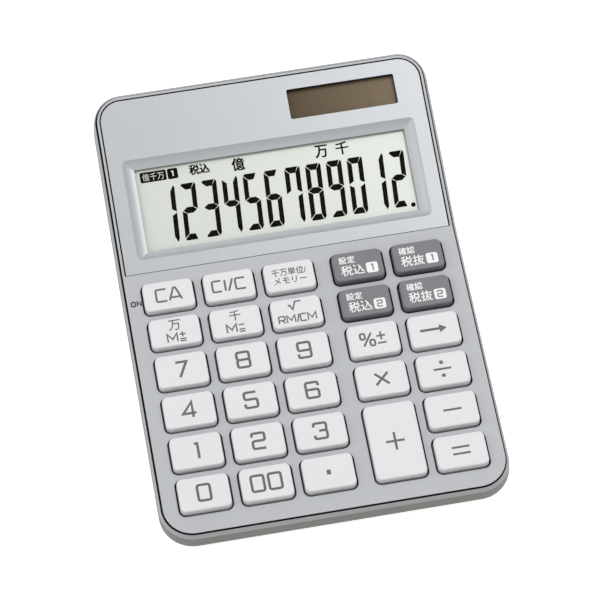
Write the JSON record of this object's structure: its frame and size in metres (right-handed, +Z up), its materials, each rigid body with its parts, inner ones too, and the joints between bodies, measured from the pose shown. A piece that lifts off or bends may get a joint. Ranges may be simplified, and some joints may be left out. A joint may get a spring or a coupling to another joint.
{
  "type": "desk calculator",
  "caption": "Desk calculator with a sloping face of sprung keys, a steeper tilted display panel with a recessed window, and a solar cell at its top right.",
  "frame": {"origin": "on the table, under the middle of the case's outline", "axes": "+X to the user's right, +Y to the rear, where the display is, +Z up"},
  "size_m": [0.1036, 0.1426, 0.0284],
  "materials": {
    "silver_face": "silver-painted moulding, satin",
    "silver_rim": "silver-grey moulded plastic, satin",
    "silver_panel": "silver-painted panel, smooth satin",
    "taupe_case": "warm grey moulded plastic, fine grain",
    "clear_window": "clear acrylic, polished",
    "white_frame": "white moulded plastic",
    "lcd_glass": "liquid crystal cell with film polarisers",
    "reflector_film": "pale reflecting film",
    "amber_film": "amber connector film",
    "solar_glass": "amorphous silicon on glass",
    "wire_jacket": "thin insulated lead",
    "dome_rubber": "silicone rubber, satin",
    "circuit_board": "glass-epoxy board, lacquered",
    "black_resin": "poured resin over the chip",
    "capacitor_can": "sleeved aluminium can",
    "cell_can": "nickel-plated steel can",
    "contact_spring": "plated spring brass",
    "screw_steel": "plated steel",
    "foot_rubber": "soft rubber",
    "white_keys": "white moulded plastic, satin",
    "grey_keys": "dark grey moulded plastic, satin"
  },
  "bodies": {
    "casing": {"face_plate": "silver_face", "upper_case": "silver_rim", "lower_case": "taupe_case", "display_panel": "silver_panel", "display_window": "clear_window", "lcd_frame": "white_frame", "lcd_glass": "lcd_glass", "lcd_reflector": "reflector_film", "lcd_ribbon": "amber_film", "solar_cell": "solar_glass", "solar_wires": "wire_jacket", "key_membrane": "dome_rubber", "main_board": "circuit_board", "chip_cover": "black_resin", "capacitor": "capacitor_can", "button_cell": "cell_can", "battery_contact_top": "contact_spring", "battery_contact_base": "contact_spring", "battery_wires": "wire_jacket", "battery_cover": "taupe_case", "battery_cover_screw": "screw_steel", "case_screws": "screw_steel", "board_screws": "screw_steel", "rubber_feet": "foot_rubber"},
    "key_0": {"key_0": "white_keys"},
    "key_00": {"key_00": "white_keys"},
    "key_point": {"key_point": "white_keys"},
    "key_plus": {"key_plus": "white_keys"},
    "key_equals": {"key_equals": "white_keys"},
    "key_1": {"key_1": "white_keys"},
    "key_2": {"key_2": "white_keys"},
    "key_3": {"key_3": "white_keys"},
    "key_minus": {"key_minus": "white_keys"},
    "key_4": {"key_4": "white_keys"},
    "key_5": {"key_5": "white_keys"},
    "key_6": {"key_6": "white_keys"},
    "key_multiply": {"key_multiply": "white_keys"},
    "key_divide": {"key_divide": "white_keys"},
    "key_7": {"key_7": "white_keys"},
    "key_8": {"key_8": "white_keys"},
    "key_9": {"key_9": "white_keys"},
    "key_percent": {"key_percent": "white_keys"},
    "key_back": {"key_back": "white_keys"},
    "key_memory_add": {"key_memory_add": "white_keys"},
    "key_memory_total": {"key_memory_total": "white_keys"},
    "key_memory_recall": {"key_memory_recall": "white_keys"},
    "key_tax_in_2": {"key_tax_in_2": "grey_keys"},
    "key_tax_out_2": {"key_tax_out_2": "grey_keys"},
    "key_clear_all": {"key_clear_all": "white_keys"},
    "key_clear": {"key_clear": "white_keys"},
    "key_unit": {"key_unit": "white_keys"},
    "key_tax_in_1": {"key_tax_in_1": "grey_keys"},
    "key_tax_out_1": {"key_tax_out_1": "grey_keys"}
  },
  "joints": [
    {"name": "key_0_press", "type": "slide", "parent": "casing", "child": "key_0", "axis": [0, 0.0523, -0.9986], "range_m": [0, 0.0012], "stiffness_N_per_m": 400, "springref_m": -0.0002, "deforming": ["key_membrane"]},
    {"name": "key_00_press", "type": "slide", "parent": "casing", "child": "key_00", "axis": [0, 0.0523, -0.9986], "range_m": [0, 0.0012], "stiffness_N_per_m": 400, "springref_m": -0.0002, "deforming": ["key_membrane"]},
    {"name": "key_point_press", "type": "slide", "parent": "casing", "child": "key_point", "axis": [0, 0.0523, -0.9986], "range_m": [0, 0.0012], "stiffness_N_per_m": 400, "springref_m": -0.0002, "deforming": ["key_membrane"]},
    {"name": "key_plus_press", "type": "slide", "parent": "casing", "child": "key_plus", "axis": [0, 0.0523, -0.9986], "range_m": [0, 0.0012], "stiffness_N_per_m": 400, "springref_m": -0.0002, "deforming": ["key_membrane"]},
    {"name": "key_equals_press", "type": "slide", "parent": "casing", "child": "key_equals", "axis": [0, 0.0523, -0.9986], "range_m": [0, 0.0012], "stiffness_N_per_m": 400, "springref_m": -0.0002, "deforming": ["key_membrane"]},
    {"name": "key_1_press", "type": "slide", "parent": "casing", "child": "key_1", "axis": [0, 0.0523, -0.9986], "range_m": [0, 0.0012], "stiffness_N_per_m": 400, "springref_m": -0.0002, "deforming": ["key_membrane"]},
    {"name": "key_2_press", "type": "slide", "parent": "casing", "child": "key_2", "axis": [0, 0.0523, -0.9986], "range_m": [0, 0.0012], "stiffness_N_per_m": 400, "springref_m": -0.0002, "deforming": ["key_membrane"]},
    {"name": "key_3_press", "type": "slide", "parent": "casing", "child": "key_3", "axis": [0, 0.0523, -0.9986], "range_m": [0, 0.0012], "stiffness_N_per_m": 400, "springref_m": -0.0002, "deforming": ["key_membrane"]},
    {"name": "key_minus_press", "type": "slide", "parent": "casing", "child": "key_minus", "axis": [0, 0.0523, -0.9986], "range_m": [0, 0.0012], "stiffness_N_per_m": 400, "springref_m": -0.0002, "deforming": ["key_membrane"]},
    {"name": "key_4_press", "type": "slide", "parent": "casing", "child": "key_4", "axis": [0, 0.0523, -0.9986], "range_m": [0, 0.0012], "stiffness_N_per_m": 400, "springref_m": -0.0002, "deforming": ["key_membrane"]},
    {"name": "key_5_press", "type": "slide", "parent": "casing", "child": "key_5", "axis": [0, 0.0523, -0.9986], "range_m": [0, 0.0012], "stiffness_N_per_m": 400, "springref_m": -0.0002, "deforming": ["key_membrane"]},
    {"name": "key_6_press", "type": "slide", "parent": "casing", "child": "key_6", "axis": [0, 0.0523, -0.9986], "range_m": [0, 0.0012], "stiffness_N_per_m": 400, "springref_m": -0.0002, "deforming": ["key_membrane"]},
    {"name": "key_multiply_press", "type": "slide", "parent": "casing", "child": "key_multiply", "axis": [0, 0.0523, -0.9986], "range_m": [0, 0.0012], "stiffness_N_per_m": 400, "springref_m": -0.0002, "deforming": ["key_membrane"]},
    {"name": "key_divide_press", "type": "slide", "parent": "casing", "child": "key_divide", "axis": [0, 0.0523, -0.9986], "range_m": [0, 0.0012], "stiffness_N_per_m": 400, "springref_m": -0.0002, "deforming": ["key_membrane"]},
    {"name": "key_7_press", "type": "slide", "parent": "casing", "child": "key_7", "axis": [0, 0.0523, -0.9986], "range_m": [0, 0.0012], "stiffness_N_per_m": 400, "springref_m": -0.0002, "deforming": ["key_membrane"]},
    {"name": "key_8_press", "type": "slide", "parent": "casing", "child": "key_8", "axis": [0, 0.0523, -0.9986], "range_m": [0, 0.0012], "stiffness_N_per_m": 400, "springref_m": -0.0002, "deforming": ["key_membrane"]},
    {"name": "key_9_press", "type": "slide", "parent": "casing", "child": "key_9", "axis": [0, 0.0523, -0.9986], "range_m": [0, 0.0012], "stiffness_N_per_m": 400, "springref_m": -0.0002, "deforming": ["key_membrane"]},
    {"name": "key_percent_press", "type": "slide", "parent": "casing", "child": "key_percent", "axis": [0, 0.0523, -0.9986], "range_m": [0, 0.0012], "stiffness_N_per_m": 400, "springref_m": -0.0002, "deforming": ["key_membrane"]},
    {"name": "key_back_press", "type": "slide", "parent": "casing", "child": "key_back", "axis": [0, 0.0523, -0.9986], "range_m": [0, 0.0012], "stiffness_N_per_m": 400, "springref_m": -0.0002, "deforming": ["key_membrane"]},
    {"name": "key_memory_add_press", "type": "slide", "parent": "casing", "child": "key_memory_add", "axis": [0, 0.0523, -0.9986], "range_m": [0, 0.0012], "stiffness_N_per_m": 400, "springref_m": -0.0002, "deforming": ["key_membrane"]},
    {"name": "key_memory_total_press", "type": "slide", "parent": "casing", "child": "key_memory_total", "axis": [0, 0.0523, -0.9986], "range_m": [0, 0.0012], "stiffness_N_per_m": 400, "springref_m": -0.0002, "deforming": ["key_membrane"]},
    {"name": "key_memory_recall_press", "type": "slide", "parent": "casing", "child": "key_memory_recall", "axis": [0, 0.0523, -0.9986], "range_m": [0, 0.0012], "stiffness_N_per_m": 400, "springref_m": -0.0002, "deforming": ["key_membrane"]},
    {"name": "key_tax_in_2_press", "type": "slide", "parent": "casing", "child": "key_tax_in_2", "axis": [0, 0.0523, -0.9986], "range_m": [0, 0.0012], "stiffness_N_per_m": 400, "springref_m": -0.0002, "deforming": ["key_membrane"]},
    {"name": "key_tax_out_2_press", "type": "slide", "parent": "casing", "child": "key_tax_out_2", "axis": [0, 0.0523, -0.9986], "range_m": [0, 0.0012], "stiffness_N_per_m": 400, "springref_m": -0.0002, "deforming": ["key_membrane"]},
    {"name": "key_clear_all_press", "type": "slide", "parent": "casing", "child": "key_clear_all", "axis": [0, 0.0523, -0.9986], "range_m": [0, 0.0012], "stiffness_N_per_m": 400, "springref_m": -0.0002, "deforming": ["key_membrane"]},
    {"name": "key_clear_press", "type": "slide", "parent": "casing", "child": "key_clear", "axis": [0, 0.0523, -0.9986], "range_m": [0, 0.0012], "stiffness_N_per_m": 400, "springref_m": -0.0002, "deforming": ["key_membrane"]},
    {"name": "key_unit_press", "type": "slide", "parent": "casing", "child": "key_unit", "axis": [0, 0.0523, -0.9986], "range_m": [0, 0.0012], "stiffness_N_per_m": 400, "springref_m": -0.0002, "deforming": ["key_membrane"]},
    {"name": "key_tax_in_1_press", "type": "slide", "parent": "casing", "child": "key_tax_in_1", "axis": [0, 0.0523, -0.9986], "range_m": [0, 0.0012], "stiffness_N_per_m": 400, "springref_m": -0.0002, "deforming": ["key_membrane"]},
    {"name": "key_tax_out_1_press", "type": "slide", "parent": "casing", "child": "key_tax_out_1", "axis": [0, 0.0523, -0.9986], "range_m": [0, 0.0012], "stiffness_N_per_m": 400, "springref_m": -0.0002, "deforming": ["key_membrane"]}
  ]
}
